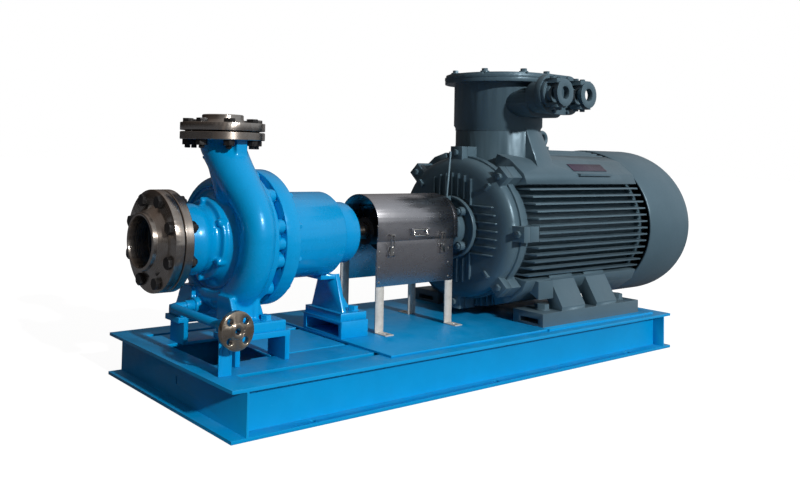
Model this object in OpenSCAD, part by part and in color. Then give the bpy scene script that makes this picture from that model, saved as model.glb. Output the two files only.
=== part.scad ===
// Skid-mounted horizontal centrifugal water pump with a spacer coupling and an
// explosion-proof motor. Millimetres, +Z up, X along the shaft from suction to
// motor, origin at the centre of the skid underside.

/* [Skid] */
// length of the skid over the end beams
skid_l = 1785; // [1775:1:1800]
// width over the flange edges
skid_w = 608; // [604:1:616]
// depth of the skid beams
skid_h = 114; // [112:0.5:116]
// flange width of the skid beams
flange_w = 74; // [70:1:76]
// flange thickness of the skid beams
flange_t = 8; // [6:0.5:9]
// web thickness of the skid beams
web_t = 5.5; // [4.5:0.5:7]
// anchor hole diameter
anchor_d = 14; // [12:0.5:16]
// distance from the skid centre to the outer anchor holes
anchor_pitch = 656; // [640:1:670]
// thickness of the deck plate and the motor strips
deck_t = 6; // [6:0.5:6]

/* [Pump] */
// height of the shaft centre above the skid underside
shaft_z = 400; // [400:1:400]
// suction flange diameter
suction_od = 250; // [245:1:252]
// suction bolt circle
suction_pcd = 210; // [208:1:211]
// discharge flange diameter
discharge_od = 220; // [216:1:222]
// discharge bolt circle
discharge_pcd = 180; // [178:1:181]
// suction bore
suction_bore = 125; // [120:1:128]
// discharge bore
discharge_bore = 100; // [96:1:102]
// discharge centre line from the skid centre
discharge_x = -738; // [-738:1:-738]
// smallest outer radius of the volute
volute_r = 166; // [164:1:167]
// growth of the volute radius each quarter turn
volute_step = 14; // [12:1:14]
// radius of the volute rim section
tube_r = 40; // [38:1:40]
// impeller diameter
impeller_d = 250; // [230:2:252]

/* [Motor] */
// radius of the motor frame over its fins
frame_r = 255; // [250:1:256]
// spacing of the cooling fins
fin_pitch = 21.8; // [20:0.1:22.4]
// thickness of one cooling fin
fin_t = 5; // [4:0.5:6]
// outer radius of the fan cowl
cowl_r = 259; // [258:0.5:260]
// terminal box radius
box_r = 141; // [138:1:142]

/* [Guard] */
// half width of the coupling guard over its side plates
guard_y = 77; // [77:0.5:77]
// sheet thickness of the guard
sheet = 2; // [1.5:0.5:2]

/* [Hidden] */
$fn = 48;
x_end = skid_l / 2;
y_side = skid_w / 2;
deck_z = skid_h + deck_t;
deck_x0 = -390;
suction_x = -911;
guard_x0 = -256;
guard_x1 = 62;
box_x = 363;
outlet_z = 828;
// thickness of the two flange gaskets and top face of the discharge flange
gasket_t = 1.5;
discharge_z = shaft_z + 272;
// drain line: height, place of its first run across and of its second run along the skid
drain_z = 224;
drain_y = 50;
drain_x = -845;
// joint between the motor frame and its drive-end shield
joint_x = 188;
// top of the terminal box, under its lid
lid_z = 881;
// bore radius of the cable glands
cable_r = 20;
blue = [0.04, 0.50, 0.86];
steel = [0.62, 0.61, 0.59];
black = [0.10, 0.10, 0.11];
grey = [0.27, 0.34, 0.38];
sheet_c = [0.42, 0.42, 0.44];

// places children on the shaft line, local +Z along +X
module along_x(x = 0) translate([x, 0, shaft_z]) rotate([0, 90, 0]) children();

// solid of revolution about the shaft line from [radius, x] points
module turned(pts) along_x() rotate_extrude() polygon(pts);

// plain ring about the shaft line
module ring(x0, x1, ro, ri) along_x(x0) difference() {
    cylinder(h = x1 - x0, r = ro);
    translate([0, 0, -1]) cylinder(h = x1 - x0 + 2, r = ri);
}

// block given by its lower and upper corners
module block(a, b) translate(a) cube(b - a);

// children on both sides of the XZ plane
module both_sides() {
    children();
    mirror([0, 1, 0]) children();
}

// hexagon nut or bolt head
module hexagon(af, h) cylinder(h = h, r = af / sqrt(3), $fn = 6);

// plate outline in the YZ plane, thickness along X from x0 to x1
module yz_plate(x0, x1, pts) translate([x0, 0, 0]) rotate([90, 0, 90])
    linear_extrude(x1 - x0) polygon(pts);

// plate outline in the XZ plane, thickness along Y from y0 to y1
module xz_plate(y0, y1, pts) translate([0, y1, 0]) rotate([90, 0, 0])
    linear_extrude(y1 - y0) polygon(pts);

// I beam along +X, centred on Y
module beam(len, web_y) {
    block([0, -flange_w / 2, 0], [len, flange_w / 2, flange_t]);
    block([0, -flange_w / 2, skid_h - flange_t], [len, flange_w / 2, skid_h]);
    block([0, web_y - web_t / 2, flange_t / 2], [len, web_y + web_t / 2, skid_h - flange_t / 2]);
}

module end_beam() translate([-x_end + flange_w / 2, y_side, 0]) rotate([0, 0, -90])
    beam(skid_w, 5);

module base_frame() color(blue) difference() {
    union() {
        end_beam();
        mirror([1, 0, 0]) end_beam();
        both_sides() {
            translate([-x_end + 43, -y_side + flange_w / 2, 0]) beam(skid_l - 86, 0);
            block([-x_end + 43, -209, skid_h - 8], [x_end - 43, -114, skid_h]);
            block([-x_end + 43, -165, 30], [x_end - 43, -158, skid_h - 4]);
            block([257, -278, skid_h - 1], [830, -139, deck_z]);
        }
        for (x = [-376, -60, 250, 560]) {
            block([x, -y_side + 36, 40], [x + 6, y_side - 36, skid_h - 2]);
            block([x, -y_side + 36, skid_h - 6], [x + 40, y_side - 36, skid_h]);
        }
        block([-640, -98, skid_h - 8], [-372, 98, skid_h - 2]);
        block([-640, -116, 60], [-634, 116, skid_h - 4]);
        translate([-690, -84, 98]) rotate([0, 90, 0]) cylinder(h = 54, r = 8);
    }
    for (x = [-anchor_pitch, 0, anchor_pitch], s = [-1, 1])
        translate([x, s * (y_side - 15), -1]) cylinder(h = flange_t + 2, d = anchor_d);
    block([-x_end + 30, -3, 45], [-x_end + 56, 3, 65]);
}

module deck_plate() color(blue) {
    block([deck_x0, -y_side + 32, skid_h], [257, y_side - 32, deck_z]);
    block([257, -138, skid_h], [830, 138, deck_z]);
}

module casing_pedestals() color(blue) both_sides() {
    block([-803, -156, 172], [-622, -84, 186]);
    block([-786, -156, skid_h], [-772, -84, 172]);
    block([-638, -156, skid_h], [-624, -84, 172]);
}

module rear_pedestal() color(blue) difference() {
    block([-388, -82, deck_z], [-290, 82, 166]);
    block([-392, -68, deck_z + 6], [-302, 68, 157]);
}

// one quarter of the spiral body: outline about its own centre
module quarter(i, r) {
    cx = [1, 1, -1, -1][i] * volute_step / 2;
    cy = [1, -1, -1, 1][i] * volute_step / 2;
    translate([cx, cy, 0]) rotate([0, 0, 90 - 90 * i]) rotate_extrude(angle = 90)
        children();
}

// solid or hollow spiral, wall inset w
module spiral(w) along_x() for (i = [0:3]) quarter(i) {
    r = volute_r + volute_step * i;
    union() {
        translate([r - tube_r, -730]) circle(r = tube_r - w);
        translate([w > 0 ? 96 : 60, -757 + w]) square([r - tube_r - (w > 0 ? 96 : 60), 57 - w]);
    }
}

module raised_flange(d, t, face_d) {
    cylinder(h = t, d = d);
    translate([0, 0, t]) cylinder(h = 1, d = face_d);
}

// bolt holes on a circle
module holes(n, pcd, d, h) for (i = [0:n - 1])
    rotate([0, 0, 360 / n * (i + 0.5)]) translate([pcd / 2, 0, -1]) cylinder(h = h + 2, d = d);

module casing_leg() {
    block([-795, -150, 186], [-634, -84, 210]);
    xz_plate(-112, -98, [[-793, 208], [-668, 208], [-692, 258], [-762, 262]]);
    yz_plate(-778, -766, [[-146, 208], [-60, 208], [-60, 262], [-118, 262]]);
    yz_plate(-706, -692, [[-118, 208], [-60, 208], [-60, 290], [-113, 290]]);
}

module casing() color(blue) difference() {
    union() {
        spiral(0);
        turned([[0, -887], [80, -887], [80, -850], [88, -800], [88, -790], [100, -790],
            [100, -772], [112, -757], [121, -752], [121, -740], [0, -740]]);
        along_x(-887) rotate([180, 0, 0]) raised_flange(suction_od, 23, 188);
        for (a = [45:90:315]) along_x(-796) rotate([0, 0, a]) translate([88, 0, 0])
            cylinder(h = 10, r = 9);
        turned([[130, -700], [178, -700], [178, -678], [152, -678], [152, -655],
            [130, -655]]);
        for (a = [15:30:345]) along_x(-692) rotate([0, 0, a]) translate([160, 0, 0])
            cylinder(h = 36, r = 17);
        for (a = [90, 270]) along_x(-692) rotate([0, 0, a]) translate([160, 0, 0])
            cylinder(h = 36, r = 15);
        translate([discharge_x, -118, shaft_z + 82]) rotate([-42, 0, 0])
            cylinder(h = 176, r1 = 46, r2 = 60);
        translate([discharge_x, 0, shaft_z + 195]) cylinder(h = 60, r1 = 60, r2 = 66);
        translate([discharge_x, 0, shaft_z + 251]) raised_flange(discharge_od, 20, 158);
        block([-704, -14, shaft_z + 170], [-664, 14, shaft_z + 253]);
        both_sides() casing_leg();
        translate([-750, drain_y, drain_z]) rotate([0, -90, 0]) cylinder(h = 30, r = 19);
    }
    spiral(9);
    ring(-743, -689, 134, 0);
    ring(-764, -742, 74, 0);
    ring(-775, -763, 66, 0);
    along_x(-690) cylinder(h = 40, r = 135);
    along_x(suction_x - 2) cylinder(h = 140, d = suction_bore);
    translate([discharge_x, 0, shaft_z + 200]) cylinder(h = 82, d = discharge_bore);
    translate([discharge_x, -118, shaft_z + 82]) rotate([-42, 0, 0])
        cylinder(h = 176, r1 = 34, r2 = 49);
    along_x(-887 - 25) holes(8, suction_pcd, 18, 28);
    translate([discharge_x, 0, shaft_z + 251]) holes(8, discharge_pcd, 18, 22);
    for (a = [15:30:345]) along_x(-680) rotate([0, 0, a]) translate([160, 0, 0])
        cylinder(h = 30, r = 6);
    for (s = [-1, 1]) translate([-680, s * 130, 180]) cylinder(h = 40, r = 7);
    translate([-740, drain_y, drain_z]) rotate([0, -90, 0]) cylinder(h = 50, r = 10.65);
}

// companion weld-neck flange on its own face, neck along +Z
module companion(d, t, face_d, neck_r, pipe_r, bore, h) difference() {
    union() {
        translate([0, 0, 1]) cylinder(h = t, d = d);
        cylinder(h = 3, d = face_d);
        translate([0, 0, t]) cylinder(h = h - t - 12, r1 = neck_r, r2 = pipe_r);
        translate([0, 0, h - 13]) cylinder(h = 11, r = pipe_r);
        translate([0, 0, h - 2]) cylinder(h = 2, r1 = pipe_r, r2 = pipe_r - 2);
    }
    translate([0, 0, -1]) cylinder(h = h + 2, d = bore);
}

module suction_flange() color(steel) along_x(suction_x - gasket_t) rotate([180, 0, 0])
    difference() {
        companion(suction_od, 24, 188, 88, 70, suction_bore, 55.5);
        holes(8, suction_pcd, 18, 26);
    }

module discharge_flange() color(steel)
    translate([discharge_x, 0, discharge_z + gasket_t]) difference() {
        companion(discharge_od, 20, 158, 61, 54, discharge_bore, 42.5);
        holes(8, discharge_pcd, 18, 22);
    }

module suction_gasket() color(black)
    ring(suction_x - gasket_t, suction_x, 94, suction_bore / 2);

module discharge_gasket() color(black) translate([discharge_x, 0, discharge_z]) difference() {
    cylinder(h = gasket_t, d = 158);
    translate([0, 0, -1]) cylinder(h = 5, d = discharge_bore);
}

// bolt through two flanges, head below the grip and nut above it
module flange_bolt(grip, d, af) {
    translate([0, 0, -10]) hexagon(af, 10);
    translate([0, 0, -1]) cylinder(h = grip + 23, d = d);
    translate([0, 0, grip]) difference() {
        hexagon(af, 14);
        translate([0, 0, -1]) cylinder(h = 16, d = d - 0.2);
    }
}

module bolt_circle(n, pcd, grip) for (i = [0:n - 1])
    rotate([0, 0, 360 / n * (i + 0.5)]) translate([pcd / 2, 0, 0]) flange_bolt(grip, 16, 27);

module suction_bolts() color(black) along_x(-887 - 50.5) bolt_circle(8, suction_pcd, 50.5);

module discharge_bolts() color(black) translate([discharge_x, 0, shaft_z + 294.5])
    rotate([180, 0, 0]) bolt_circle(8, discharge_pcd, 43.5);

module wear_ring() color(steel) ring(-764, -750, 74, 62.6);

module casing_cover() color(blue) difference() {
    turned([[0, -690], [135, -690], [135, -655], [99, -655], [99, -640], [60, -640],
        [60, -606], [0, -606]]);
    along_x(-691) cylinder(h = 30, r = 32);
    along_x(-668) cylinder(h = 64, r = 42);
}

module seal_gland() color(steel) turned([[31, -606], [58, -606], [58, -590], [31, -590]]);

module cover_studs() color(black) for (a = [15:30:345]) along_x(-680) rotate([0, 0, a])
    translate([160, 0, 0]) {
        cylinder(h = 84, r = 6);
        translate([0, 0, 68]) difference() {
            hexagon(19, 10);
            translate([0, 0, -1]) cylinder(h = 12, r = 5.9);
        }
    }

module bearing_frame() color(blue) difference() {
    turned([[0, -655], [177, -655], [177, -612], [116, -612], [116, -408], [112, -402],
        [106, -400], [0, -400]]);
    along_x(-656) cylinder(h = 96, r = 100);
    along_x(-570) cylinder(h = 40, r = 34);
    along_x(-545) cylinder(h = 29, r = 60);
    along_x(-517) cylinder(h = 80, r = 50);
    along_x(-440) cylinder(h = 45, r = 60);
    for (a = [15:30:345]) along_x(-656) rotate([0, 0, a]) translate([160, 0, 0])
        cylinder(h = 50, r = 6.4);
}

module bearing_end_cap() color(blue) turned([[30, -400], [86, -400], [86, -332], [83, -326],
    [78, -324], [30, -324]]);

module bearing_outer_rings() color(steel) {
    for (x = [-545, -440]) ring(x, x + 29, 60, 51);
    for (x = [176, 905]) ring(x, x + 35, 75, 64);
}

module rear_foot() color(blue) difference() {
    union() {
        block([-386, -76, 166], [-292, 76, 187]);
        yz_plate(-372, -358, [[-66, 186], [66, 186], [34, 290], [-34, 290]]);
        block([-424, -34, 276], [-358, 34, 300]);
        xz_plate(-6, 6, [[-360, 186], [-292, 186], [-360, 276]]);
    }
    along_x(-430) cylinder(h = 80, r = 116);
}

// square-cornered washer face bolt standing on a foot at z
module foot_bolt(x, y, z, d, af) translate([x, y, z]) {
    cylinder(h = 3, d = af * 1.3);
    translate([0, 0, 3]) hexagon(af, d * 0.65);
}

module foot_bolts() color(blue) {
    for (s = [-1, 1]) {
        foot_bolt(-680, s * 130, 210, 16, 24);
        translate([-680, s * 130, 187]) cylinder(h = 23.5, d = 13.8);
        foot_bolt(-316, s * 48, 187, 16, 24);
    }
}

module motor_bolts() color(grey) for (s = [-1, 1], x = [322, 728])
    foot_bolt(x, s * 206, 160, 24, 36);

module pump_shaft() color(steel) turned([[0, -772], [12, -772], [12, -748], [20, -748],
    [20, -690], [22.5, -690], [22.5, -560], [27.5, -560], [27.5, -516], [32, -516],
    [32, -440], [27.5, -440], [27.5, -396], [24, -396], [24, -155], [0, -155]]);

// closed impeller: hub disc, front shroud with eye, radial vanes
module impeller() color(steel) difference() {
    union() {
        turned([[0, -748], [26, -748], [36, -722], [impeller_d / 2, -706],
            [impeller_d / 2, -698], [0, -698]]);
        turned([[55, -766], [62.4, -766], [62.4, -741], [impeller_d / 2, -731],
            [impeller_d / 2, -726], [55, -735]]);
        for (a = [0:60:300]) along_x(-737) rotate([0, 0, a]) translate([58, -2, 0])
            cube([impeller_d / 2 - 60, 4, 36]);
    }
    along_x(-760) cylinder(h = 70, r = 20);
}

module impeller_nut() color(steel) along_x(-770) difference() {
    cylinder(h = 22, r = 22);
    translate([0, 0, -1]) cylinder(h = 30, r = 12);
}

module shaft_sleeve() color(steel) ring(-690, -562, 27, 22.5);

module seal_rotor() color(black) ring(-664, -610, 40, 27);

module pump_inner_rings() color(steel) for (x = [-545, -440])
    ring(x, x + 29, 50.94, 27.5);

module hub(x0, x1, flange_x, r) {
    ring(x0, x1, 40, r);
    ring(flange_x, flange_x + 14, 62, 39);
}

module pump_hub() color(steel) hub(-235, -155, -169, 24);

module motor_hub() color(steel) hub(-15, 75, -15, 32.5);

module spacer() color(steel) turned([[30, -155], [62, -155], [62, -143], [38, -143],
    [38, -27], [62, -27], [62, -15.5], [30, -15.5]]);

module coupling_bolts() color(black) for (a = [0:60:300], x = [-177, -143, -35])
    along_x(x) rotate([0, 0, a]) translate([51, 0, 0]) hexagon(13, 8);

// drain line of radius r from the casing boss round to the flange, ends e longer
module drain_run(r, e = 0) {
    translate([-740 + e, drain_y, drain_z]) rotate([0, -90, 0])
        cylinder(h = -740 - drain_x - 16 + e, r = r);
    translate([drain_x + 16, drain_y - 16, drain_z]) rotate([0, 0, 90])
        rotate_extrude(angle = 90) translate([16, 0]) circle(r = r);
    translate([drain_x, drain_y - 16, drain_z]) rotate([90, 0, 0])
        cylinder(h = drain_y + 220 + e, r = r);
}

module drain_pipe() color(blue) difference() {
    union() {
        drain_run(10.65);
        translate([-780, drain_y, drain_z]) rotate([0, -90, 0]) cylinder(h = 26, r = 14);
    }
    drain_run(8, 1);
}

module drain_flange() color(steel) translate([drain_x, -236, drain_z]) rotate([90, 0, 0])
difference() {
    union() {
        cylinder(h = 14, d = 89);
        translate([0, 0, 14]) cylinder(h = 1.6, d = 35);
        translate([0, 0, -8]) cylinder(h = 9, r1 = 14, r2 = 20);
    }
    translate([0, 0, -9]) cylinder(h = 9, r = 10.65);
    translate([0, 0, -1]) cylinder(h = 20, d = 15);
    holes(4, 60.3, 15.9, 16);
}

module drain_support() color(blue) difference() {
    union() {
        block([drain_x - 19, -204, skid_h], [drain_x + 17, -200, drain_z - 6]);
        block([drain_x + 13, -204, skid_h], [drain_x + 17, -172, drain_z - 12]);
        translate([drain_x, -178, drain_z]) rotate([90, 0, 0]) cylinder(h = 24, r = 14);
    }
    translate([drain_x, -100, drain_z]) rotate([90, 0, 0]) cylinder(h = 140, r = 10.65);
}

// guard outline in the YZ plane, side faces at half width g, down to z
module arch(g, z) {
    intersection() {
        translate([0, 428]) circle(r = g);
        translate([-g, 427]) square([2 * g, 2 * g]);
    }
    translate([-g, z]) square([2 * g, 428 - z]);
}

module guard_section(x0, x1) translate([x0, 0, 0]) rotate([90, 0, 90])
    linear_extrude(x1 - x0) children();

// sheet bracket with a latch pivot, on the near side plate
module latch_base(x) {
    block([x - 11, -guard_y - 2, 332], [x + 11, -guard_y, 362]);
    for (d = [-11, 9]) block([x + d, -guard_y - 8, 334], [x + d + 2, -guard_y - 1, 346]);
}

module guard_body() color(sheet_c) {
    block([guard_x0, -guard_y, 250], [guard_x1, -guard_y + sheet, 390]);
    block([guard_x0, guard_y - sheet, 250], [guard_x1, guard_y, 390]);
    difference() {
        guard_section(guard_x1 - 6, 84) difference() {
            arch(guard_y - sheet, 378);
            arch(guard_y - 2 * sheet, 370);
        }
        block([guard_x1 - 7, -guard_y, 391], [guard_x1 + 0.5, guard_y, 510]);
    }
    for (x = [-205, 8]) latch_base(x);
    for (x = [-230, -110, 10]) difference() {
        union() {
            translate([x, guard_y + 6, 392]) rotate([0, 90, 0]) cylinder(h = 24, r = 5);
            block([x, guard_y, 372], [x + 24, guard_y + 4, 390]);
        }
        translate([x - 1, guard_y + 6, 392]) rotate([0, 90, 0]) cylinder(h = 26, r = 3.05);
    }
}

module guard_legs() color([0.72, 0.71, 0.68]) both_sides() for (x = [guard_x0, guard_x1 - 32])
    difference() {
        union() {
            block([x, -guard_y + sheet, deck_z], [x + 32, -guard_y + sheet + 3, 355]);
            block([x, -guard_y - 40, deck_z], [x + 32, -guard_y + sheet + 1, deck_z + 3]);
        }
        translate([x + 16, -guard_y - 24, deck_z - 1]) cylinder(h = 6, r = 5.5);
    }

module guard_cover() color(sheet_c) difference() {
    union() {
        guard_section(guard_x0, guard_x1) difference() {
            arch(guard_y + 1 + sheet, 377);
            arch(guard_y + 1, 370);
            translate([guard_y - 8, 360]) square([20, 41]);
        }
        for (x = [-203, -83]) {
            translate([x, guard_y + 6, 392]) rotate([0, 90, 0]) cylinder(h = 90, r = 5);
            block([x, guard_y + 1, 392], [x + 90, guard_y + 3, 404]);
        }
        for (x = [-199, 14]) block([x - 9, -guard_y - 7, 388], [x + 9, -guard_y - 2, 396]);
        for (x = [-127, -61]) block([x, -guard_y - 10, 398], [x + 8, -guard_y - 2, 412]);
    }
    translate([-300, guard_y + 6, 392]) rotate([0, 90, 0]) cylinder(h = 400, r = 3.05);
    translate([-140, -guard_y - 6.5, 407]) rotate([0, 90, 0]) cylinder(h = 100, r = 2.05);
    for (x = [-231, -111, 9]) block([x, guard_y, 380], [x + 26, guard_y + 14, 400]);
}

module hinge_pin() color(steel) translate([-234, guard_y + 6, 392]) rotate([0, 90, 0])
    cylinder(h = 272, r = 3);

module guard_handle() color(steel) {
    translate([-127, -guard_y - 6.5, 407]) rotate([0, 90, 0]) cylinder(h = 74, r = 2);
    for (x = [-117, -63]) translate([x, -guard_y - 6.5, 407]) rotate([160, 0, 0])
        cylinder(h = 17.5, r = 1.7);
    translate([-119, -guard_y - 12.5, 390.5]) rotate([0, 90, 0]) cylinder(h = 58, r = 2);
}

// over-centre lever with a wire bail, pivot along X
module latch(x) color(steel) {
    translate([x - 8.9, -guard_y - 5.5, 340]) rotate([0, 90, 0]) cylinder(h = 17.8, r = 2);
    block([x - 7, -guard_y - 8.5, 338], [x + 7, -guard_y - 5, 362]);
    for (d = [-7, 5]) block([x + d, -guard_y - 12, 358], [x + d + 2, -guard_y - 8, 396]);
    block([x - 7, -guard_y - 12, 394], [x + 7, -guard_y - 8, 398]);
}

module latch_pump_end() latch(-205);

module latch_motor_end() latch(8);

module guard_rivets() color([0.80, 0.80, 0.80]) both_sides()
    for (x = [guard_x0 + 9, guard_x1 - 21], z = [262, 304, 347])
        translate([x, -guard_y, z]) rotate([90, 0, 0]) cylinder(h = 0.9, r = 3.5);

// eight lugs spaced around the motor end
module lugs(x0, x1, w) for (a = [0:45:315]) along_x(x0) rotate([0, 0, a])
    translate([205, -w / 2, 0]) cube([52, w, x1 - x0]);

module fins(n, len) for (i = [-n:n])
    translate([0, i * fin_pitch - fin_t / 2, 0]) cube([frame_r, fin_t, len]);

// leg plate between a motor foot and the frame
module motor_leg(x0, x1) yz_plate(x0, x1, [[-252, 158], [-255, 172], [-206, 262], [-170, 262],
    [-214, 158]]);

module motor_foot() difference() {
    union() {
        block([258, -255, deck_z], [780, -150, 160]);
        motor_leg(355, 475);
        motor_leg(538, 650);
        yz_plate(276, 350, [[-226, 196], [-226, 250], [-150, 262], [-150, 240]]);
    }
    block([257, -238, deck_z + 8], [300, -175, deck_z + 22]);
    block([740, -238, deck_z + 8], [781, -175, deck_z + 22]);
}

// raised pad along a corner of the frame
module corner_pad(up) yz_plate(229, 832, [for (p = [[-216, 146], [-203, 178], [-152, 220],
    [-104, 236], [-90, 180], [-150, 138]]) [p[0], shaft_z + p[1] * up]]);

module motor_frame() color(grey) difference() {
    union() {
        ring(210, 846, 214, 196);
        ring(joint_x, 212, 228, 196);
        ring(828, 846, 226, 196);
        lugs(joint_x, 231, 46);
        intersection() {
            ring(234, 840, frame_r, 200);
            along_x(238) union() {
                rotate([0, 0, 90]) fins(6, 598);
                rotate([0, 0, 270]) fins(6, 598);
                translate([0, 0, 262]) rotate([0, 0, 180]) fins(5, 336);
                fins(5, 598);
            }
        }
        both_sides() {
            corner_pad(1);
            corner_pad(-1);
            motor_foot();
        }
        block([508, -214, shaft_z + 172], [692, -200, shaft_z + 180]);
        translate([box_x, 0, 540]) cylinder(h = 172, r = 134.5);
        intersection() {
            translate([box_x, 0, 560]) cylinder(h = 152, r1 = 194, r2 = 137);
            block([334, -200, 560], [600, 200, 712]);
        }
        translate([606, 0, 600]) cylinder(h = 55, r = 28);
    }
    ring(joint_x - 1, 847, 196, 0);
    translate([box_x, 0, shaft_z + 100]) cylinder(h = 250, r = 70);
}

module drive_end_shield() color(grey) difference() {
    union() {
        turned([[60, 148], [172, 148], [190, 149], [206, 153], [216, 160], [221, 168],
            [222, 176], [222, 188], [194, 188], [194, 196], [176, 196], [168, 160],
            [92, 160], [90, 226], [60, 226]]);
        lugs(160, 187, 46);
        intersection() {
            ring(139, 150, 172, 100);
            along_x(139) for (q = [0:3], i = [-3:3]) rotate([0, 0, 90 * q])
                translate([abs(i) == 3 ? 72 : 92, i * 24.5 - 1.8, 0]) cube([90, 3.6, 11]);
        }
        for (a = [45:90:315]) along_x(141) rotate([0, 0, a])
            translate([176, -5, 0]) cube([24, 10, 14]);
    }
    ring(176, 212, 75, 0);
}

module shield_bolts() color(grey) for (a = [0:45:315]) along_x(150) rotate([0, 0, a])
    translate([237, 0, 0]) hexagon(19, 10);

module motor_bearing_cap() color(grey) {
    turned([[40, 104], [58, 104], [63, 109], [65, 136], [90, 136], [91, 128], [98, 128],
        [99, 131], [99, 148], [40, 148]]);
    for (a = [45:90:315]) along_x(110) rotate([0, 0, a]) translate([76, 0, 0]) {
        cylinder(h = 30, r = 14);
        translate([0, 0, -7]) hexagon(17, 8);
    }
}

module grease_tube() color(grey) {
    translate([117, 0, shaft_z + 92]) rotate([0, 6, 0]) cylinder(h = 148, r = 4);
    block([106, -9, shaft_z + 76], [127.5, 9, shaft_z + 98]);
}

module rear_shield() color(grey) difference() {
    union() {
        turned([[0, 846], [222, 846], [222, 862], [100, 876], [90, 905], [90, 945], [0, 945]]);
        intersection() {
            ring(848, 892, cowl_r - 4, 180);
            for (a = [45:90:315]) along_x(848) rotate([0, 0, a])
                translate([205, -16, 0]) cube([26, 32, 44]);
        }
        intersection() {
            ring(870, 892, cowl_r - 4, 180);
            for (a = [45:90:315]) along_x(870) rotate([0, 0, a])
                translate([205, -16, 0]) cube([60, 32, 22]);
        }
    }
    along_x(845) cylinder(h = 120, r = 42);
    along_x(905) cylinder(h = 41, r = 75);
}

module stator() color([0.45, 0.30, 0.20]) {
    ring(340, 700, 196, 131);
    ring(290, 340, 186, 140);
    ring(700, 750, 186, 140);
}

module motor_shaft() color(steel) turned([[0, -15], [32.5, -15], [32.5, 125], [36, 125],
    [36, 176], [40, 176], [40, 213], [48, 213], [48, 840], [40, 840], [40, 940], [30, 940],
    [30, 1070], [0, 1070]]);

module motor_inner_rings() color(steel) for (x = [176, 905])
    ring(x, x + 35, 63.94, 40);

module rotor_core() color(steel) ring(340, 700, 130, 48);

module fan() color(black) {
    ring(985, 1050, 60, 30);
    ring(985, 991, 215, 60);
    for (a = [0:40:320]) along_x(990) rotate([0, 0, a]) translate([58, -3, 0])
        cube([150, 6, 60]);
}

// rounded end of the fan cowl, offset inwards by w
function dome(w) = [for (t = [0:7.5:90]) [150 + (cowl_r - 150 - w) * cos(t),
    1082 + (100 - w) * sin(t)]];

module fan_cowl() color(grey) difference() {
    turned(concat([[0, 853], [cowl_r - 3, 853], [cowl_r, 858]], dome(0), [[0, 1182]]));
    turned(concat([[0, 852], [cowl_r - 7, 852], [cowl_r - 4, 858]], dome(4), [[0, 1178]]));
    difference() {
        for (r = [40:24:136]) ring(1172, 1187, r + 10, r);
        for (a = [0:45:315]) along_x(1162) rotate([0, 0, a]) translate([0, -5, 0])
            cube([170, 10, 30]);
    }
}

module terminal_box() color(grey) {
    difference() {
        union() {
            translate([box_x, 0, 712]) cylinder(h = 8, r = 136);
            translate([box_x, 0, 720]) cylinder(h = 8, r1 = 136, r2 = box_r);
            translate([box_x, 0, 728]) cylinder(h = lid_z - 728, r = box_r);
            translate([box_x, 0, lid_z - 13.5]) cylinder(h = 13.5, r = 172);
        }
        translate([box_x, 0, 700]) cylinder(h = 40, r = 70);
        translate([box_x, 0, 730]) cylinder(h = lid_z - 729, r = 128);
        translate([box_x, -100, outlet_z - 29]) rotate([90, 0, 0]) cylinder(h = 60, r = 34);
    }
    translate([332, -131, 712]) cylinder(h = 30, r = 4);
    translate([332, -131, 740]) rotate([0, 60, 0]) cylinder(h = 20, r = 3);
}

module terminal_lid() color(grey) {
    translate([box_x, 0, lid_z]) cylinder(h = 8, r = 173);
    translate([box_x, 0, lid_z + 7]) cylinder(h = 9, r1 = 170, r2 = 169);
    translate([box_x, 0, lid_z + 15]) cylinder(h = 4, r1 = 136, r2 = 130);
    for (a = [22.5:45:360]) translate([box_x, 0, lid_z + 15]) rotate([0, 0, a]) {
        translate([155, 0, 0]) cylinder(h = 5, r = 14);
        translate([155, 0, 4]) hexagon(17, 9);
    }
}

// oval outline for two bores side by side
module oval(w, h) union() {
    for (s = [-1, 1]) translate([s * (w - h) / 2, 0]) circle(d = h);
    square([w - h, h], center = true);
}

// slice of the outlet between two Y planes
module outlet_slice(y0, y1, w, z0, z1) translate([box_x, y0, (z0 + z1) / 2])
    rotate([90, 0, 0]) linear_extrude(y0 - y1) oval(w, z1 - z0);

module cable_outlet() color(grey) difference() {
    union() {
        outlet_slice(-90, -182, 190, 756, 842);
        outlet_slice(-176, -216, 196, 766, lid_z - 16);
        outlet_slice(-215, -235, 212, 764, 887);
        for (s = [-1, 1], z = [773, 878]) translate([box_x + s * 34, -235, z])
            rotate([90, 0, 0]) hexagon(13, 7);
    }
    translate([box_x, 0, 700]) cylinder(h = 200, r = box_r);
    for (s = [-1, 1]) translate([box_x + s * 61, -150, outlet_z - 2]) rotate([90, 0, 0])
        cylinder(h = 90, r = cable_r + 1);
    translate([box_x, -100, outlet_z - 29]) rotate([90, 0, 0]) cylinder(h = 90, r = 33);
}

module gland() rotate([90, 0, 0]) difference() {
    union() {
        cylinder(h = 12, r = 44);
        cylinder(h = 22, r = 33);
        translate([0, 0, 40]) cylinder(h = 9, r1 = 34, r2 = 37);
        translate([0, 0, 49]) cylinder(h = 8, r1 = 37, r2 = 41);
        for (s = [-1, 1]) translate([-27, s * 37 - 7, 8]) cube([54, 14, 38]);
        for (s = [-1, 1], t = [-1, 1]) translate([t * 17, s * 43, 24]) rotate([s * -90, 0, 0])
            hexagon(13, 8);
    }
    translate([0, 0, -1]) cylinder(h = 60, r = cable_r);
}

module cable_glands() color(grey) for (s = [-1, 1])
    translate([box_x + s * 61, -235, outlet_z - 2]) gland();

module nameplate() color([0.35, 0.30, 0.42]) translate([502, -179.5, shaft_z + 197.4])
    rotate([39.5, 0, 0]) block([0, -17, 0.4], [190, 17, 1.9]);

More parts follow.
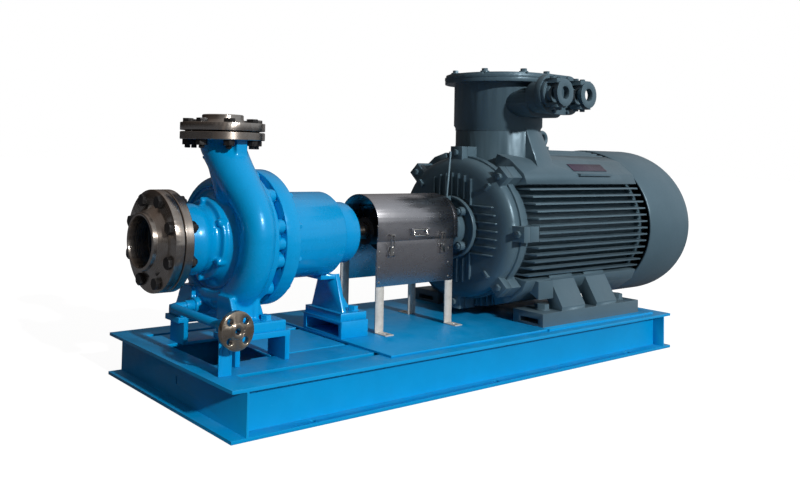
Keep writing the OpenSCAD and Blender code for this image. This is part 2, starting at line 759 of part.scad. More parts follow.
module lifting_eye() color(grey) translate([606, 0, shaft_z + frame_r]) {
    cylinder(h = 12, r = 24);
    translate([0, 0, 38]) rotate([90, 0, 0]) rotate_extrude() translate([22, 0]) circle(r = 8);
}

base_frame();
deck_plate();
casing_pedestals();
rear_pedestal();
casing();
suction_flange();
discharge_flange();
suction_gasket();
discharge_gasket();
suction_bolts();
discharge_bolts();
wear_ring();
casing_cover();
seal_gland();
cover_studs();
bearing_frame();
bearing_end_cap();
bearing_outer_rings();
rear_foot();
foot_bolts();
pump_shaft();
impeller();
impeller_nut();
shaft_sleeve();
seal_rotor();
pump_inner_rings();
pump_hub();
spacer();
coupling_bolts();
motor_hub();
drain_pipe();
drain_flange();
drain_support();
guard_body();
guard_legs();
guard_cover();
hinge_pin();
guard_handle();
latch_pump_end();
latch_motor_end();
guard_rivets();
motor_frame();
drive_end_shield();
shield_bolts();
motor_bearing_cap();
grease_tube();
rear_shield();
stator();
motor_shaft();
motor_inner_rings();
rotor_core();
fan();
fan_cowl();
terminal_box();
terminal_lid();
cable_outlet();
cable_glands();
nameplate();
lifting_eye();
motor_bolts();
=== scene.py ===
import math

import bpy
import bmesh
import numpy as np
from mathutils import Matrix, Vector


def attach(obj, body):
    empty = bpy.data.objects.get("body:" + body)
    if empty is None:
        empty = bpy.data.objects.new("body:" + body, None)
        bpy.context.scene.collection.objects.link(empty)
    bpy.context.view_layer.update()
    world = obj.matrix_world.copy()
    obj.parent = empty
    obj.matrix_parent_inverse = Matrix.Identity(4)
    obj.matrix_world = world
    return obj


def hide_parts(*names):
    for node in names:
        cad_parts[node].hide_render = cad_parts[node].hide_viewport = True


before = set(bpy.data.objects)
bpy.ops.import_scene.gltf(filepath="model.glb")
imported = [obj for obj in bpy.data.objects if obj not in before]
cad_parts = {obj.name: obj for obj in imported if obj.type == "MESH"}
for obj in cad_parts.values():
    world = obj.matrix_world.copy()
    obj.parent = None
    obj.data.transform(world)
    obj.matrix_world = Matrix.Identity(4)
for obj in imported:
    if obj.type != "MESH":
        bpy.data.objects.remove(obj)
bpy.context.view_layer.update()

MM = 0.001
# camera place in metres, its yaw, pitch and roll in degrees, lens and sensor in mm, and lens shift
CAMERA_AT = (-1.85912, -1.71798, 0.62899)
CAMERA_TURN = (-34.093, -2.258, 1.568)
SENSOR_MM = 36.0
LENS_MM = 35.78553
LENS_SHIFT = (0.2046625, -0.1655125)
# direction toward the sun, its strength, width in degrees and colour
SUN = ((-0.04, -0.90, 0.43), 3.1, 2.5, (1.0, 0.98, 0.95))
# turning grooves in each metre of turned steel, and the colour of its painted brown reflection
GROOVES_PER_M = 900.0
PAINTED_BROWN_REFLECTION = (0.30, 0.21, 0.15)
# floor: half its side in metres, and its glow toward the camera
FLOOR_HALF = 30
FLOOR_GLOW = 0.91


# ---------------------------------------------------------------- camera, light, floor

def make_camera():
    """Camera at the reference viewpoint."""
    yaw, pitch, roll = (math.radians(a) for a in CAMERA_TURN)
    d = Vector((-math.sin(yaw) * math.cos(pitch), math.cos(yaw) * math.cos(pitch), -math.sin(pitch)))
    right0 = Vector((math.cos(yaw), math.sin(yaw), 0))
    up0 = right0.cross(d)
    r = math.cos(roll) * right0 + math.sin(roll) * up0
    u = -math.sin(roll) * right0 + math.cos(roll) * up0
    data = bpy.data.cameras.new("camera")
    cam = bpy.data.objects.new("camera", data)
    bpy.context.scene.collection.objects.link(cam)
    rot = Matrix((r, u, -d)).transposed().to_4x4()
    cam.matrix_world = Matrix.Translation(Vector(CAMERA_AT)) @ rot
    data.sensor_width = SENSOR_MM
    data.lens = LENS_MM
    data.shift_x, data.shift_y = LENS_SHIFT
    data.clip_start, data.clip_end = 0.05, 100
    bpy.context.scene.camera = cam


def sun_light(name, toward, power, spread, color):
    """Distant lamp standing in the direction toward, spread degrees wide."""
    data = bpy.data.lights.new(name, "SUN")
    data.energy, data.color, data.angle = power, color, math.radians(spread)
    lamp = bpy.data.objects.new(name, data)
    bpy.context.scene.collection.objects.link(lamp)
    lamp.rotation_mode = "QUATERNION"
    lamp.rotation_quaternion = Vector(toward).to_track_quat("Z", "Y")


class Tree:
    """Short way to write node trees: sockets and plain values are both accepted as inputs."""

    def __init__(self, tree):
        self.tree = tree

    def put(self, socket, value):
        if isinstance(value, bpy.types.NodeSocket):
            self.tree.links.new(value, socket)
        elif socket.type == "RGBA" and len(value) == 3:
            socket.default_value = (*value, 1)
        else:
            socket.default_value = value

    def node(self, kind, out=0, props=None, **ins):
        n = self.tree.nodes.new("ShaderNode" + kind)
        for k, v in (props or {}).items():
            setattr(n, k, v)
        for k, v in ins.items():
            key = int(k[1:]) if k[0] == "i" and k[1:].isdigit() else k.replace("_", " ")
            self.put(n.inputs[key], v)
        return n.outputs[out]

    def math(self, op, a, b=0.0, c=0.0, clamp=False):
        return self.node("Math", props={"operation": op, "use_clamp": clamp}, i0=a, i1=b, i2=c)

    def ramp(self, fac, lo, hi, a=0.0, b=1.0):
        """Linear map of fac from lo..hi to a..b, clamped."""
        return self.node("MapRange", Value=fac, From_Min=lo, From_Max=hi, To_Min=a, To_Max=b)

    def mix(self, fac, a, b, blend="MIX"):
        n = self.tree.nodes.new("ShaderNodeMix")
        n.data_type, n.blend_type = "RGBA", blend
        self.put(n.inputs[0], fac)
        self.put(n.inputs[6], a)
        self.put(n.inputs[7], b)
        return n.outputs[2]

    def noise(self, coord, scale, detail=2.0, rough=0.5, distortion=0.0):
        return self.node("TexNoise", Vector=coord, Scale=scale, Detail=detail, Roughness=rough,
                         Distortion=distortion)

    def stretch(self, coord, scale, rot=(0, 0, 0)):
        return self.node("Mapping", Vector=coord, Scale=scale, Rotation=rot)


def make_world():
    world = bpy.data.worlds.new("studio")
    bpy.context.scene.world = world
    world.use_nodes = True
    t = Tree(world.node_tree)
    bg = world.node_tree.nodes["Background"]
    d = t.node("TexCoord", 0)
    side = t.node("VectorMath", 1, {"operation": "DOT_PRODUCT"}, i0=d, i1=(0.62, -0.55, 0.0))
    up = t.node("SeparateXYZ", 2, Vector=d)
    level = t.ramp(side, -0.35, 0.8, 0.016, 0.50)
    sky = t.ramp(up, 0.1, 0.95, 0.0, 0.32)
    amount = t.math("ADD", level, sky)
    tone = t.mix(t.ramp(side, -0.6, 0.6), (0.75, 0.62, 0.55), (0.92, 0.96, 1.0))
    lit = t.mix(1.0, tone, t.node("CombineColor", Red=amount, Green=amount, Blue=amount), "MULTIPLY")
    seen = t.node("LightPath", 0)
    t.put(bg.inputs["Color"], t.mix(seen, lit, (1.0, 1.0, 1.0)))
    bg.inputs["Strength"].default_value = 1.0


def make_floor():
    bm = bmesh.new()
    bmesh.ops.create_grid(bm, x_segments=1, y_segments=1, size=FLOOR_HALF)
    mesh = bpy.data.meshes.new("floor")
    bm.to_mesh(mesh)
    bm.free()
    floor = bpy.data.objects.new("floor", mesh)
    bpy.context.scene.collection.objects.link(floor)
    floor.location.z = -0.0005
    mat, t, bsdf = start("floor")
    seen = t.node("LightPath", 0)
    t.put(bsdf.inputs["Base Color"], t.mix(seen, (0.16, 0.17, 0.19), (0.22, 0.22, 0.22)))
    bsdf.inputs["Roughness"].default_value = 0.9
    bsdf.inputs["Specular IOR Level"].default_value = 0.1
    bsdf.inputs["Emission Color"].default_value = (1, 1, 1, 1)
    t.put(bsdf.inputs["Emission Strength"], t.math("MULTIPLY", seen, FLOOR_GLOW))
    mesh.materials.append(mat)


def start(name):
    """New node material with its tree and its shader."""
    mat = bpy.data.materials.new(name)
    mat.use_nodes = True
    t = Tree(mat.node_tree)
    return mat, t, mat.node_tree.nodes["Principled BSDF"]


make_camera()
bpy.context.scene.view_settings.view_transform = "Standard"
sun_light("key", *SUN)
make_world()
make_floor()


# ---------------------------------------------------------------- materials

def edge_mask(t, radius):
    """About 1 on convex and concave edges, 0 on open faces."""
    soft = t.node("Bevel", props={"samples": 4}, Radius=radius)
    hard = t.node("NewGeometry", 1)
    same = t.node("VectorMath", 1, {"operation": "DOT_PRODUCT"}, i0=soft, i1=hard)
    return t.ramp(same, 0.995, 0.90)


def paint(name, color, shade, rough, peel=0.35, cast=0.0, dust=0.10, coat=0.0, wear=0.25):
    """Sprayed enamel: drifting tone, orange peel, cast waviness, dust on top faces, pale worn edges."""
    mat, t, bsdf = start(name)
    at = t.node("TexCoord", 3)
    drift = t.noise(at, 5.0, 3.0, 0.55)
    blotch = t.noise(at, 38.0, 4.0, 0.6)
    base = t.mix(t.ramp(drift, 0.35, 0.65), color, shade)
    base = t.mix(t.ramp(blotch, 0.45, 0.75, 0.0, 0.18), base, [c * 0.8 for c in color])
    up = t.node("SeparateXYZ", 2, Vector=t.node("NewGeometry", 1))
    grime = t.noise(at, 14.0, 5.0, 0.65, 0.4)
    lies = t.math("MULTIPLY", t.ramp(up, 0.55, 0.98), t.ramp(grime, 0.4, 0.72))
    pale = [0.55 * c + 0.45 * g for c, g in zip(color, (0.42, 0.43, 0.42))]
    base = t.mix(t.math("MULTIPLY", lies, dust * 4, clamp=True), base, pale)
    scuff = t.noise(t.stretch(at, (1.0, 5.0, 3.0), (0.3, 0.5, 0.7)), 60.0, 3.0, 0.7)
    lines = t.ramp(scuff, 0.66, 0.70)
    base = t.mix(t.math("MULTIPLY", lines, 0.12), base, [min(1, c * 1.5 + 0.05) for c in color])
    edge = t.math("MULTIPLY", edge_mask(t, 0.0022), t.ramp(blotch, 0.3, 0.7, 0.3, 1.0))
    base = t.mix(t.math("MULTIPLY", edge, wear), base, [min(1, c * 1.25 + 0.06) for c in color])
    t.put(bsdf.inputs["Base Color"], base)
    r = t.ramp(t.noise(at, 22.0, 4.0, 0.6), 0.3, 0.7, rough - 0.05, rough + 0.08)
    r = t.math("ADD", r, t.math("MULTIPLY", lies, 0.25))
    t.put(bsdf.inputs["Roughness"], r)
    height = t.math("MULTIPLY", t.noise(at, 420.0, 2.0, 0.5), peel)
    if cast:
        height = t.math("ADD", height, t.math("MULTIPLY", t.noise(at, 70.0, 3.0, 0.5), cast))
    t.put(bsdf.inputs["Normal"], t.node("Bump", Strength=0.35, Distance=0.0006, Height=height))
    bsdf.inputs["Coat Weight"].default_value = coat
    strongest = max(color)
    bsdf.inputs["Specular Tint"].default_value = (*(0.3 + 0.7 * c / strongest for c in color), 1)
    bsdf.inputs["Coat Roughness"].default_value = 0.12
    return mat


def turned_steel(name, axis, centre, color=(0.44, 0.41, 0.38), rough=0.26):
    """Lathe-turned stainless: fine rings about the axis, a slightly warm base and blotches of painted brown
    reflection, handling marks.
    """
    mat, t, bsdf = start(name)
    at = t.node("TexCoord", 3)
    rel = t.node("VectorMath", 0, {"operation": "SUBTRACT"}, i0=at, i1=centre)
    axial = t.node("VectorMath", 1, {"operation": "DOT_PRODUCT"}, i0=rel, i1=axis)
    radial = t.node("VectorMath", 1, {"operation": "LENGTH"}, i0=t.node(
        "VectorMath", 0, {"operation": "CROSS_PRODUCT"}, i0=rel, i1=axis))
    grooves = t.node("CombineXYZ", X=t.math("MULTIPLY", axial, GROOVES_PER_M),
                     Y=t.math("MULTIPLY", radial, GROOVES_PER_M), Z=0.0)
    rings = t.noise(grooves, 1.0, 3.0, 0.7)
    # painted reflection: noise blotches mix the colour toward a warm brown that stands in for reflected
    # surroundings; the same noise also varies the roughness
    reflection_blotch_and_roughness = t.noise(at, 16.0, 4.0, 0.6, 0.6)
    base = t.mix(t.ramp(reflection_blotch_and_roughness, 0.42, 0.75, 0.0, 0.7), color, PAINTED_BROWN_REFLECTION)
    base = t.mix(t.ramp(rings, 0.3, 0.7, 0.0, 0.25), base, [c * 0.6 for c in color])
    marks = t.ramp(t.noise(t.stretch(at, (3.0, 1.0, 1.0), (0.4, 0.2, 0.9)), 90.0, 3.0, 0.7), 0.68, 0.72)
    base = t.mix(t.math("MULTIPLY", marks, 0.35), base, (0.7, 0.68, 0.66))
    t.put(bsdf.inputs["Base Color"], base)
    bsdf.inputs["Metallic"].default_value = 1.0
    around = "XYZ"[max(range(3), key=lambda i: axis[i])]
    t.put(bsdf.inputs["Tangent"], t.node("Tangent", props={"direction_type": "RADIAL", "axis": around}))
    bsdf.inputs["Anisotropic"].default_value = 0.75
    bsdf.inputs["Anisotropic Rotation"].default_value = 0.25
    r = t.math("ADD", t.ramp(rings, 0.3, 0.7, rough - 0.06, rough + 0.08),
               t.ramp(reflection_blotch_and_roughness, 0.5, 0.8, 0.0, 0.12))
    t.put(bsdf.inputs["Roughness"], r)
    t.put(bsdf.inputs["Normal"], t.node("Bump", Strength=0.25, Distance=0.0003, Height=rings))
    return mat


def black_steel(name):
    """Oiled black-oxide fasteners; the coupling hubs and spacer also take it, black partly as painted shade
    inside the guard.
    """
    mat, t, bsdf = start(name)
    at = t.node("TexCoord", 3)
    n = t.noise(at, 150.0, 4.0, 0.6)
    base = t.mix(t.ramp(n, 0.4, 0.7), (0.006, 0.006, 0.007), (0.022, 0.021, 0.021))
    edge = edge_mask(t, 0.0012)
    base = t.mix(t.math("MULTIPLY", edge, 0.25), base, (0.14, 0.13, 0.125))
    t.put(bsdf.inputs["Base Color"], base)
    bsdf.inputs["Metallic"].default_value = 0.25
    t.put(bsdf.inputs["Roughness"], t.ramp(n, 0.3, 0.7, 0.34, 0.52))
    t.put(bsdf.inputs["Normal"], t.node("Bump", Strength=0.3, Distance=0.0004, Height=n))
    return mat


def sheet_steel(name, color=(0.40, 0.40, 0.425)):
    """Bright rolled stainless sheet: long grain along X, oil-canning, smears, small scratches."""
    mat, t, bsdf = start(name)
    at = t.node("TexCoord", 3)
    grain = t.noise(t.stretch(at, (6.0, 300.0, 300.0)), 6.0, 3.0, 0.6)
    wave = t.noise(at, 9.0, 2.0, 0.5)
    smear = t.noise(t.stretch(at, (1.0, 1.0, 2.0)), 26.0, 4.0, 0.65, 0.5)
    base = t.mix(t.ramp(smear, 0.40, 0.80, 0.0, 0.22), color, [c * 0.7 for c in color])
    base = t.mix(t.ramp(grain, 0.4, 0.7, 0.0, 0.2), base, [min(1, c * 1.5) for c in color])
    line = t.ramp(t.noise(t.stretch(at, (1.0, 6.0, 2.0), (0.6, 0.3, 0.2)), 110.0, 2.0, 0.6), 0.70, 0.73)
    base = t.mix(t.math("MULTIPLY", line, 0.5), base, (0.75, 0.75, 0.75))
    t.put(bsdf.inputs["Base Color"], base)
    bsdf.inputs["Metallic"].default_value = 1.0
    t.put(bsdf.inputs["Roughness"], t.ramp(smear, 0.30, 0.80, 0.25, 0.33))
    height = t.math("ADD", t.math("MULTIPLY", grain, 0.08), t.math("MULTIPLY", wave, 1.2))
    t.put(bsdf.inputs["Normal"], t.node("Bump", Strength=0.25, Distance=0.0010, Height=height))
    return mat


def grained_metal(name, color, rough, metallic=1.0, scale=160.0):
    mat, t, bsdf = start(name)
    at = t.node("TexCoord", 3)
    n = t.noise(at, scale, 4.0, 0.6)
    big = t.noise(at, 18.0, 3.0, 0.6)
    base = t.mix(t.ramp(n, 0.35, 0.7), color, [c * 0.7 for c in color])
    base = t.mix(t.ramp(big, 0.45, 0.7, 0.0, 0.35), base, [c * 0.8 for c in color])
    t.put(bsdf.inputs["Base Color"], base)
    bsdf.inputs["Metallic"].default_value = metallic
    t.put(bsdf.inputs["Roughness"], t.ramp(n, 0.3, 0.7, rough - 0.06, rough + 0.1))
    t.put(bsdf.inputs["Normal"], t.node("Bump", Strength=0.25, Distance=0.0004, Height=n))
    return mat


BLUE = (0.0, 0.28, 0.61)
MATS = {
    "pump": paint("pump_enamel", BLUE, (0.0, 0.265, 0.58), 0.24, peel=0.3, cast=0.9, dust=0.01, coat=0.25),
    "skid": paint("skid_enamel", (0.0, 0.270, 0.60), (0.0, 0.25, 0.56), 0.36, peel=0.5, dust=0.02, coat=0.05),
    "motor": paint("motor_enamel", (0.068, 0.115, 0.148), (0.060, 0.104, 0.134), 0.36, peel=0.7, cast=0.7,
                   dust=0.05, wear=0.4),
    "steel_x": turned_steel("turned_steel_suction", (1, 0, 0), (0, 0, 0.4)),
    "steel_z": turned_steel("turned_steel_discharge", (0, 0, 1), (-0.738, 0, 0)),
    "steel_y": turned_steel("turned_steel_drain", (0, 1, 0), (-0.845, 0, 0.224), (0.50, 0.44, 0.36), 0.24),
    "black": black_steel("black_fasteners_and_painted_hub_shade"),
    "gasket": grained_metal("gasket_fibre", (0.02, 0.02, 0.02), 0.7, 0.0),
    "sheet": sheet_steel("guard_sheet"),
    "leg": grained_metal("leg_strip", (0.58, 0.57, 0.54), 0.5, 0.3, 60.0),
    "bright": grained_metal("bright_fitting", (0.62, 0.61, 0.58), 0.22),
    "copper": grained_metal("winding_varnish", (0.30, 0.13, 0.05), 0.4, 0.3),
    "fan": grained_metal("fan_plastic", (0.02, 0.02, 0.022), 0.5, 0.0),
    "plate": grained_metal("blank_plate", (0.085, 0.060, 0.10), 0.35, 0.6),
}
NODE_MATS = {
    "pump": "casing casing_cover bearing_frame bearing_end_cap rear_foot foot_bolts cover_studs",
    "skid": "base_frame deck_plate casing_pedestals rear_pedestal drain_pipe drain_support",
    "motor": "motor_frame drive_end_shield shield_bolts motor_bearing_cap grease_tube rear_shield fan_cowl "
             "terminal_box terminal_lid cable_outlet cable_glands lifting_eye motor_bolts",
    "steel_x": "suction_flange wear_ring seal_gland impeller impeller_nut shaft_sleeve pump_shaft "
               "motor_shaft rotor_core bearing_outer_rings pump_inner_rings motor_inner_rings",
    "steel_z": "discharge_flange", "steel_y": "drain_flange",
    # pump_hub, spacer and motor_hub are black partly as painted shade, darkening the coupling seen inside the
    # guard
    "black": "suction_bolts discharge_bolts coupling_bolts pump_hub spacer motor_hub",
    "gasket": "suction_gasket discharge_gasket seal_rotor",
    "sheet": "guard_body guard_cover", "leg": "guard_legs",
    "bright": "hinge_pin guard_handle latch_pump_end latch_motor_end guard_rivets",
    "copper": "stator", "fan": "fan", "plate": "nameplate",
}
for key, names in NODE_MATS.items():
    for n in names.split():
        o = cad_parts[n]
        o.data.materials.clear()
        o.data.materials.append(MATS[key])


# ---------------------------------------------------------------- mesh helpers (all lengths in mm)

def add(bm, name, mat, angle=35, bevel=0.0, stands_for=()):
    """Turns a bmesh built in mm into a closed, smooth-shaded piece riding on the skid."""
    bmesh.ops.remove_doubles(bm, verts=bm.verts, dist=0.01)
    bmesh.ops.recalc_face_normals(bm, faces=bm.faces)
    bmesh.ops.scale(bm, vec=(MM, MM, MM), verts=bm.verts)
    mesh = bpy.data.meshes.new(name)
    bm.to_mesh(mesh)
    bm.free()
    return place(mesh, name, mat, angle, bevel, stands_for)


def place(mesh, name, mat, angle, bevel, stands_for):
    obj = bpy.data.objects.new(name, mesh)
    bpy.context.scene.collection.objects.link(obj)
    mesh.materials.clear()
    mesh.materials.append(MATS[mat])
    finish_shading(mesh, angle, bevel > 0)
    if bevel:
        bev = obj.modifiers.new("bevel", "BEVEL")
        bev.width, bev.segments, bev.limit_method = bevel * MM, 2, "ANGLE"
        bev.angle_limit = math.radians(angle)
        bev.use_clamp_overlap = True
        bev.harden_normals = True
    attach(obj, "skid_set")
    for n in stands_for:
        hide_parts(n)
    return obj


def finish_shading(mesh, angle, all_smooth):
    """Smooth shading, with edges sharper than angle kept crisp."""
    bm = bmesh.new()
    bm.from_mesh(mesh)
    limit = math.radians(angle)
    for f in bm.faces:
        f.smooth = True
    for e in bm.edges:
        if len(e.link_faces) == 2:
            e.smooth = all_smooth or e.calc_face_angle(0) < limit
    bm.to_mesh(mesh)
    bm.free()


def rings(bm, loops):
    """Skins a list of point loops and caps both ends."""
    rows = [[bm.verts.new(p) for p in loop] for loop in loops]
    n = len(rows[0])
    for a, b in zip(rows, rows[1:]):
        for i in range(n):
            j = (i + 1) % n
            bm.faces.new((a[i], a[j], b[j], b[i]))
    bm.faces.new(rows[0])
    bm.faces.new(list(reversed(rows[-1])))


def frame_of(origin, axis, side=None):
    """Matrix whose Z is axis and whose X is near side."""
    z = Vector(axis).normalized()
    s = Vector(side) if side else (Vector((0, 0, 1)) if abs(z.z) < 0.9 else Vector((1, 0, 0)))
    x = (s - s.dot(z) * z).normalized()
    y = z.cross(x)
    m = Matrix((x, y, z)).transposed().to_4x4()
    m.translation = Vector(origin)
    return m


X_AXIS = frame_of((0, 0, 400), (1, 0, 0))


def lathe(bm, pts, at=X_AXIS, n=96):
    """Closed profile of (radius, height) points turned once about the local Z of a frame."""
    rows = []
    for i in range(n):
        a = math.radians(360.0 * i / n)
        rows.append([bm.verts.new(at @ Vector((r * math.cos(a), r * math.sin(a), h))) for r, h in pts])
    m = len(pts)
    for i in range(n):
        a, b = rows[i], rows[(i + 1) % n]
        for j in range(m):
            k = (j + 1) % m
            if pts[j][0] or pts[k][0]:
                bm.faces.new([a[j], a[k], b[k], b[j]])
    bmesh.ops.remove_doubles(bm, verts=bm.verts, dist=0.001)


def prism(bm, pts, at, h):
    """Polygon in the local XY plane of a frame, extruded h along its Z."""
    rings(bm, [[at @ Vector((x, y, 0)) for x, y in pts], [at @ Vector((x, y, h)) for x, y in pts]])


def box(bm, lo, hi):
    """Block between two opposite corners."""
    (x0, y0, z0), (x1, y1, z1) = lo, hi
    rings(bm, [[Vector(p) for p in ((x0, y0, z), (x1, y0, z), (x1, y1, z), (x0, y1, z))] for z in (z0, z1)])


def circle_pts(r, n):
    return [(r * math.cos(2 * math.pi * i / n), r * math.sin(2 * math.pi * i / n)) for i in range(n)]


def sweep_loops(path, radii, n):
    """Circles square to a path of points, one radius at each, with no twist between them."""
    pts = [Vector(p) for p in path]
    side = Vector((1, 0, 0))
    loops = []
    for i, (p, r) in enumerate(zip(pts, radii)):
        t = (pts[min(i + 1, len(pts) - 1)] - pts[max(i - 1, 0)]).normalized()
        side = (side - side.dot(t) * t).normalized()
        other = t.cross(side)
        loops.append([p + r * (x * side + y * other) for x, y in circle_pts(1, n)])
    return loops


def smooth_path(points, steps=8):
    """Catmull-Rom through the points, which may carry extra values such as a radius."""
    p = [np.array(q, float) for q in points]
    p = [2 * p[0] - p[1]] + p + [2 * p[-1] - p[-2]]
    out = []
    for i in range(1, len(p) - 2):
        for s in range(steps):
            t = s / steps
            a, b, c, d = p[i - 1], p[i], p[i + 1], p[i + 2]
            out.append(0.5 * ((2 * b) + (c - a) * t + (2 * a - 5 * b + 4 * c - d) * t * t
                              + (3 * b - a - 3 * c + d) * t ** 3))
    out.append(p[-2])
    return [[float(v) for v in q] for q in out]


def cast_body(parts, voxel, passes, name, mat, stands_for):
    """Union of overlapping closed shapes with cast fillets, by a voxel remesh and a relax."""
    bmesh.ops.recalc_face_normals(parts, faces=parts.faces)
    bmesh.ops.scale(parts, vec=(MM, MM, MM), verts=parts.verts)
    mesh = bpy.data.meshes.new(name)
    parts.to_mesh(mesh)
    parts.free()
    tmp = bpy.data.objects.new(name + "_raw", mesh)
    bpy.context.scene.collection.objects.link(tmp)
    rem = tmp.modifiers.new("voxel", "REMESH")
    rem.mode, rem.voxel_size, rem.use_smooth_shade = "VOXEL", voxel * MM, True
    sm = tmp.modifiers.new("relax", "SMOOTH")
    sm.factor, sm.iterations = 0.5, passes
    dg = bpy.context.evaluated_depsgraph_get()
    done = bpy.data.meshes.new_from_object(tmp.evaluated_get(dg))
    bpy.data.objects.remove(tmp)
    done.name = name
    return place(done, name, mat, 40, 0.0, stands_for)


# ---------------------------------------------------------------- volute casing

# volute: place along the shaft, radius of its round passage, and where its passage stops short of the eye
VX = -730
TUBE_R = 40
WALL_R = 130
# number of steps round the spiral, and the degrees between them
SPIRAL_STEPS = 68
SPIRAL_STEP = 4.2
# height of the shaft, and place and bore radius of the upright outlet
SHAFT = 400
DISCHARGE_X = -738
OUTLET_R = 50
# voxel size in mm and relax passes of the casting
CAST_VOXEL = 3.0
CAST_RELAX = 7


def spiral_r(deg):
    """Outer radius of the volute, growing from the top through +Y and the bottom to -Y."""
    return 159 + 14 * deg / 90


def volute_tube(bm):
    """Passage of the volute, round outside and squared off toward the eye."""
    loops = []
    for i in range(SPIRAL_STEPS):
        deg = SPIRAL_STEP * i
        a = math.radians(deg)
        centre = spiral_r(deg) - TUBE_R
        loop = []
        for k in range(40):
            b = 2 * math.pi * k / 40
            rho = max(centre + TUBE_R * math.cos(b), WALL_R)
            side = math.sin(b)
            if math.cos(b) < 0:
                side = math.copysign(abs(side) ** 0.3, side) if abs(side) > 1e-6 else 0.0
            loop.append(Vector((VX + TUBE_R * side, rho * math.sin(a), SHAFT + rho * math.cos(a))))
        loops.append(loop)
    rings(bm, loops)


def neck(bm):
    """Hollow outlet that leaves the big side of the spiral and bends up under the flange."""
    line = smooth_path([(-730, -150, 372, 38), (-730, -160, 400, 40), (-730, -160, 430, 41.5),
                        (-730, -150, 462, 43), (-731, -130, 491, 45), (-732, -104, 518, 47.5),
                        (-734, -77, 547, 50), (-736, -49, 577, 52.5), (-737, -25, 605, 55),
                        (-738, -8, 630, 58), (-738, 0, 656, 63)], 3)
    loops = sweep_loops([p[:3] for p in line], [p[3] for p in line], 40)
    rim = circle_pts(OUTLET_R, 40)
    for z in (656, 636, 616, 602):
        loops.append([Vector((DISCHARGE_X + x, y, z)) for x, y in rim])
    rings(bm, loops)


def plate_yz(bm, x0, x1, pts):
    rings(bm, [[Vector((x, y, z)) for y, z in pts] for x in (x0, x1)])


def plate_xz(bm, y0, y1, pts):
    rings(bm, [[Vector((x, y, z)) for x, z in pts] for y in (y0, y1)])


def build_casing():
    """Cast casing with its nozzle, neck and feet, and its two turned flanges."""
    bm = bmesh.new()
    volute_tube(bm)
    neck(bm)
    lathe(bm, [(62.5, -895), (78, -895), (77, -880), (79, -864), (86, -846), (89.5, -832), (89, -822),
               (84, -811), (83, -800), (86, -792), (100, -790), (102, -788), (102, -776), (108, -768),
               (121, -760), (146, -757), (146, -743), (74, -743), (74, -764),
               (66, -764), (66, -775), (62.5, -775)])
    lathe(bm, [(130, -704), (180, -704), (180, -679), (153, -676), (153, -655), (130, -655)])
    for k in range(12):
        a = math.radians(15 + 30 * k)
        spot = frame_of((-694, 160 * math.sin(a), 400 + 160 * math.cos(a)), (1, 0, 0))
        prism(bm, circle_pts(18, 20), spot, 39)
    for s in (-1, 1):
        prism(bm, circle_pts(16, 20), frame_of((-694, s * 161, 400), (1, 0, 0)), 39)
    for k in range(6):
        a = math.radians(60 * k)
        spot = frame_of((-800, 96 * math.sin(a), 400 + 96 * math.cos(a)), (1, 0, 0))
        prism(bm, circle_pts(9.5, 16), spot, 22)
    back_rib = frame_of((-690, 0, 566), (0, 0, 1), (0, 1, 0))
    prism(bm, [(-17, -15), (17, -15), (13, 15), (-13, 15)], back_rib, 88)
    root = smooth_path([(-737, -25, 605, 54), (-734, -37, 560, 50), (-731, -46, 520, 47),
                        (-730, -52, 490, 40)], 4)
    rings(bm, sweep_loops([p[:3] for p in root], [p[3] for p in root], 32))
    plate_yz(bm, -750, -716, [(-86, 656), (-86, 592), (-30, 572), (-30, 656)])
    for s in (-1, 1):
        plate_xz(bm, *sorted((s * 96, s * 113)), [(-797, 206), (-777, 222), (-768, 268), (-690, 268),
                                                  (-668, 206)])
        plate_yz(bm, -780, -764, [(s * y, z) for y, z in ((147, 206), (60, 206), (60, 270), (116, 270))])
        plate_yz(bm, -706, -692, [(s * y, z) for y, z in ((119, 206), (60, 206), (60, 296), (115, 296))])
        box(bm, (-797, min(s * 83, s * 151), 185), (-632, max(s * 83, s * 151), 211))
    prism(bm, circle_pts(20, 28), frame_of((-735, 50, 224), (-1, 0, 0)), 47)
    cast_body(bm, CAST_VOXEL, CAST_RELAX, "casing_body", "pump", ("casing",))
    bm = bmesh.new()
    lathe(bm, [(62.5, -911), (94, -911), (94, -910), (123.6, -910), (125, -908.6), (125, -888.6),
               (123.6, -887), (62.5, -887)], n=128)
    f1 = add(bm, "casing_suction_flange", "steel_x", bevel=0.6)
    up = frame_of((DISCHARGE_X, 0, 0), (0, 0, 1))
    bm = bmesh.new()
    lathe(bm, [(50, 651), (108.6, 651), (110, 652.4), (110, 669.6), (108.6, 671), (79, 671), (79, 672),
               (50, 672)], at=up, n=128)
    f2 = add(bm, "casing_discharge_flange", "steel_z", bevel=0.6)
    # the backs of the flanges, on the casing's side of each level, are painted
    for f, axis, toward, level in ((f1, 0, 1, -0.8872), (f2, 2, -1, 0.6512)):
        f.data.materials.append(MATS["pump"])
        for p in f.data.polygons:
            if (p.center[axis] - level) * toward > 0 and abs(p.normal[axis]) > 0.9:
                p.material_index = 1


build_casing()


# ---------------------------------------------------------------- flange bolts and nuts

# M16 flange bolts: shank, width across flats, heights of head and nut, groove spacing of the thread
BOLT_D = 16
BOLT_AF = 27
HEAD_H = 10
NUT_H = 14
THREAD_PITCH = 2.0


def nut(bm, at, af, h):
    """Hexagon nut with 30 degree chamfers on both faces, standing on the local XY plane."""
    r = af / math.sqrt(3)
    loops = []
    for z, cut in ((0, 0.93), (0.12 * h, 1.0), (0.88 * h, 1.0), (h, 0.93)):
        loop = []
        for k in range(24):
            a = 2 * math.pi * k / 24
            flat = (af / 2) / math.cos((a % (math.pi / 3)) - math.pi / 6)
            rr = min(flat, r * cut)
            loop.append(at @ Vector((rr * math.cos(a), rr * math.sin(a), z)))
        loops.append(loop)
    rings(bm, loops)


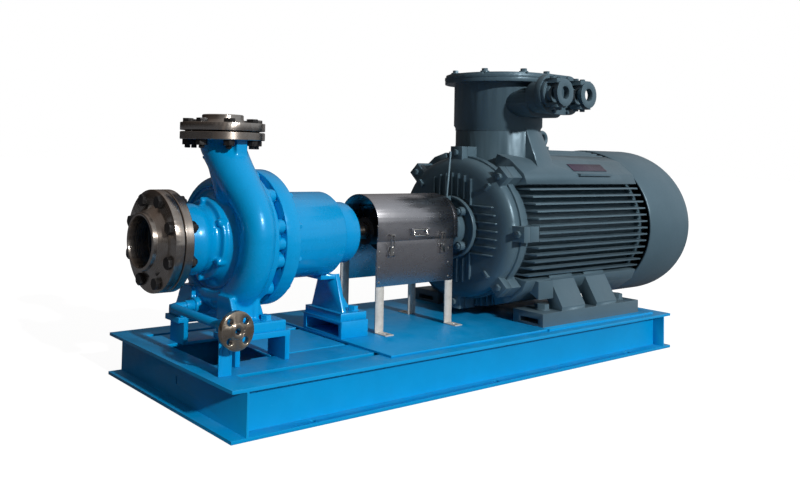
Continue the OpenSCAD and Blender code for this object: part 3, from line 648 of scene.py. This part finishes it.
def threaded(bm, at, d, z0, z1):
    """Bar with thread grooves as stacked crests and roots, chamfered ends."""
    n = int((z1 - z0) / THREAD_PITCH)
    prof = [(0, z0), (d / 2 - 1.4, z0), (d / 2 - 0.2, z0 + 1.4)]
    for k in range(1, n):
        z = z0 + 1.4 + (z1 - z0 - 2.8) * k / n
        prof += [(d / 2 - 1.0, z - 0.5), (d / 2, z)]
    prof += [(d / 2 - 1.4, z1), (0, z1)]
    lathe(bm, prof, at, n=20)


def bolt_ring(name, centre, axis, pcd, grip, side, stands):
    """Eight flange bolts; centre is the face under the heads, axis points to the nuts."""
    bm = bmesh.new()
    base = frame_of(centre, axis, side)
    for k in range(8):
        a = 2 * math.pi * (k + 0.5) / 8
        at = base @ Matrix.Translation((pcd / 2 * math.cos(a), pcd / 2 * math.sin(a), 0))
        turn = Matrix.Rotation(0.7 * k * k + 0.3, 4, "Z")
        shank = BOLT_D / 2
        lathe(bm, [(0, -1), (shank, -1), (shank, grip + 1), (0, grip + 1)], at, n=20)
        threaded(bm, at, BOLT_D, grip + NUT_H - 1, grip + NUT_H + 8)
        nut(bm, at @ Matrix.Translation((0, 0, grip)) @ turn, BOLT_AF, NUT_H)
        nut(bm, at @ turn @ Matrix.Rotation(math.pi, 4, "X"), BOLT_AF, HEAD_H)
    add(bm, name, "black", angle=30, stands_for=stands)


bolt_ring("suction_bolt_set", (-937.5, 0, SHAFT), (1, 0, 0), 210, 50.5, (0, 0, 1), ("suction_bolts",))
bolt_ring("discharge_bolt_set", (DISCHARGE_X, 0, 694.5), (0, 0, -1), 180, 43.5, (1, 0, 0),
          ("discharge_bolts",))


# ---------------------------------------------------------------- soften the CAD nodes

# edge rounding in metres: most nodes, and the thin ones
BEVEL_MOST = 0.0012
BEVEL_THIN = {"guard_body": 0.0006, "guard_cover": 0.0006, "guard_legs": 0.0006, "nameplate": 0.0004}


def soften(o, width):
    """Weld, bevel and smooth-shade a carried-over CAD node, all as modifiers."""
    for p in o.data.polygons:
        p.use_smooth = True
    weld = o.modifiers.new("weld", "WELD")
    weld.merge_threshold = 0.00002
    bev = o.modifiers.new("bevel", "BEVEL")
    bev.width, bev.segments, bev.limit_method = width, 2, "ANGLE"
    bev.angle_limit = math.radians(35)
    bev.use_clamp_overlap = True
    bev.harden_normals = True


for n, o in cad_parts.items():
    soften(o, BEVEL_THIN.get(n, BEVEL_MOST))
